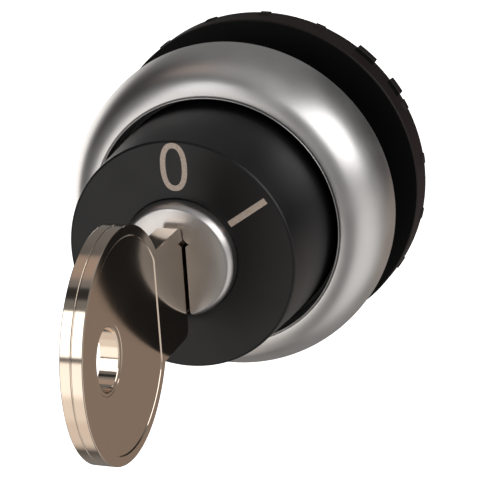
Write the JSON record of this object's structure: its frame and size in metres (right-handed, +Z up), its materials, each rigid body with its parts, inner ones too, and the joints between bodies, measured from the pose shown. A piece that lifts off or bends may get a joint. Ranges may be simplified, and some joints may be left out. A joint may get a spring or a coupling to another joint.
{
  "type": "selector key switch",
  "caption": "Key-operated two-position selector actuator for a 22 mm panel hole: domed metal ring, black marked collar, lock cylinder with its key, cam, tappets and locknut.",
  "frame": {"origin": "centre of the panel's front surface, where the gasket's rear face lies, on the device's axis", "axes": "+Y runs along the device's axis into the panel, the front and the key face -Y, +Z is up with the panel upright, +X is to the right seen from the front"},
  "size_m": [0.0312, 0.0585, 0.0314],
  "materials": {
    "satin_chrome": "satin, softly blurred highlights",
    "black_plastic": "fine matte grain",
    "nut_plastic": "matte brownish black",
    "black_rubber": "matte",
    "satin_nickel": "satin nickel plate",
    "key_nickel": "polished warm nickel plate",
    "cast_zinc": "as cast zinc alloy",
    "wafer_brass": "stamped",
    "spring_steel": "bright wire",
    "cam_plastic": "moulded acetal"
  },
  "bodies": {
    "housing": {"bezel_ring": "satin_chrome", "lock_collar": "black_plastic", "stem_body": "black_plastic", "panel_gasket": "black_rubber", "lock_housing": "cast_zinc", "housing_clip": "spring_steel", "rear_guide_plate": "black_plastic", "detent_ball": "spring_steel", "detent_spring": "spring_steel", "tappet_spring_left": "spring_steel", "tappet_spring_right": "spring_steel"},
    "lock_rotor": {"lock_plug": "satin_nickel", "wafer_1": "wafer_brass", "wafer_2": "wafer_brass", "wafer_3": "wafer_brass", "wafer_4": "wafer_brass", "wafer_5": "wafer_brass", "wafer_spring_1": "spring_steel", "wafer_spring_2": "spring_steel", "wafer_spring_3": "spring_steel", "wafer_spring_4": "spring_steel", "wafer_spring_5": "spring_steel", "plug_o_ring": "black_rubber", "drive_cam": "cam_plastic", "cam_retaining_ring": "spring_steel"},
    "key": {"key": "key_nickel"},
    "locknut": {"locknut": "nut_plastic"},
    "tappet_left": {"tappet_left": "cam_plastic"},
    "tappet_right": {"tappet_right": "cam_plastic"}
  },
  "joints": [
    {"name": "key_turn", "type": "hinge", "parent": "housing", "child": "lock_rotor", "pos_m": [0, 0, 0], "axis": [0, 1, 0], "range_deg": [0, 60]},
    {"name": "key_withdraw", "type": "slide", "parent": "lock_rotor", "child": "key", "axis": [0, -1, 0], "range_m": [0, 0.022]},
    {"name": "locknut_travel", "type": "slide", "parent": "housing", "child": "locknut", "axis": [0, 1, 0], "range_m": [-0.0043, 0.0007]},
    {"name": "tappet_left_push", "type": "slide", "parent": "housing", "child": "tappet_left", "axis": [0, 1, 0], "range_m": [0, 0.0028], "deforming": ["tappet_spring_left"]},
    {"name": "tappet_right_push", "type": "slide", "parent": "housing", "child": "tappet_right", "axis": [0, 1, 0], "range_m": [0, 0.0028], "deforming": ["tappet_spring_right"]}
  ],
  "couplings": [
    {"joint": "tappet_left_push", "follows": "key_turn", "m_per_rad": 0.0025783},
    {"joint": "tappet_right_push", "follows": "key_turn", "m_per_rad": 0.0025783}
  ]
}
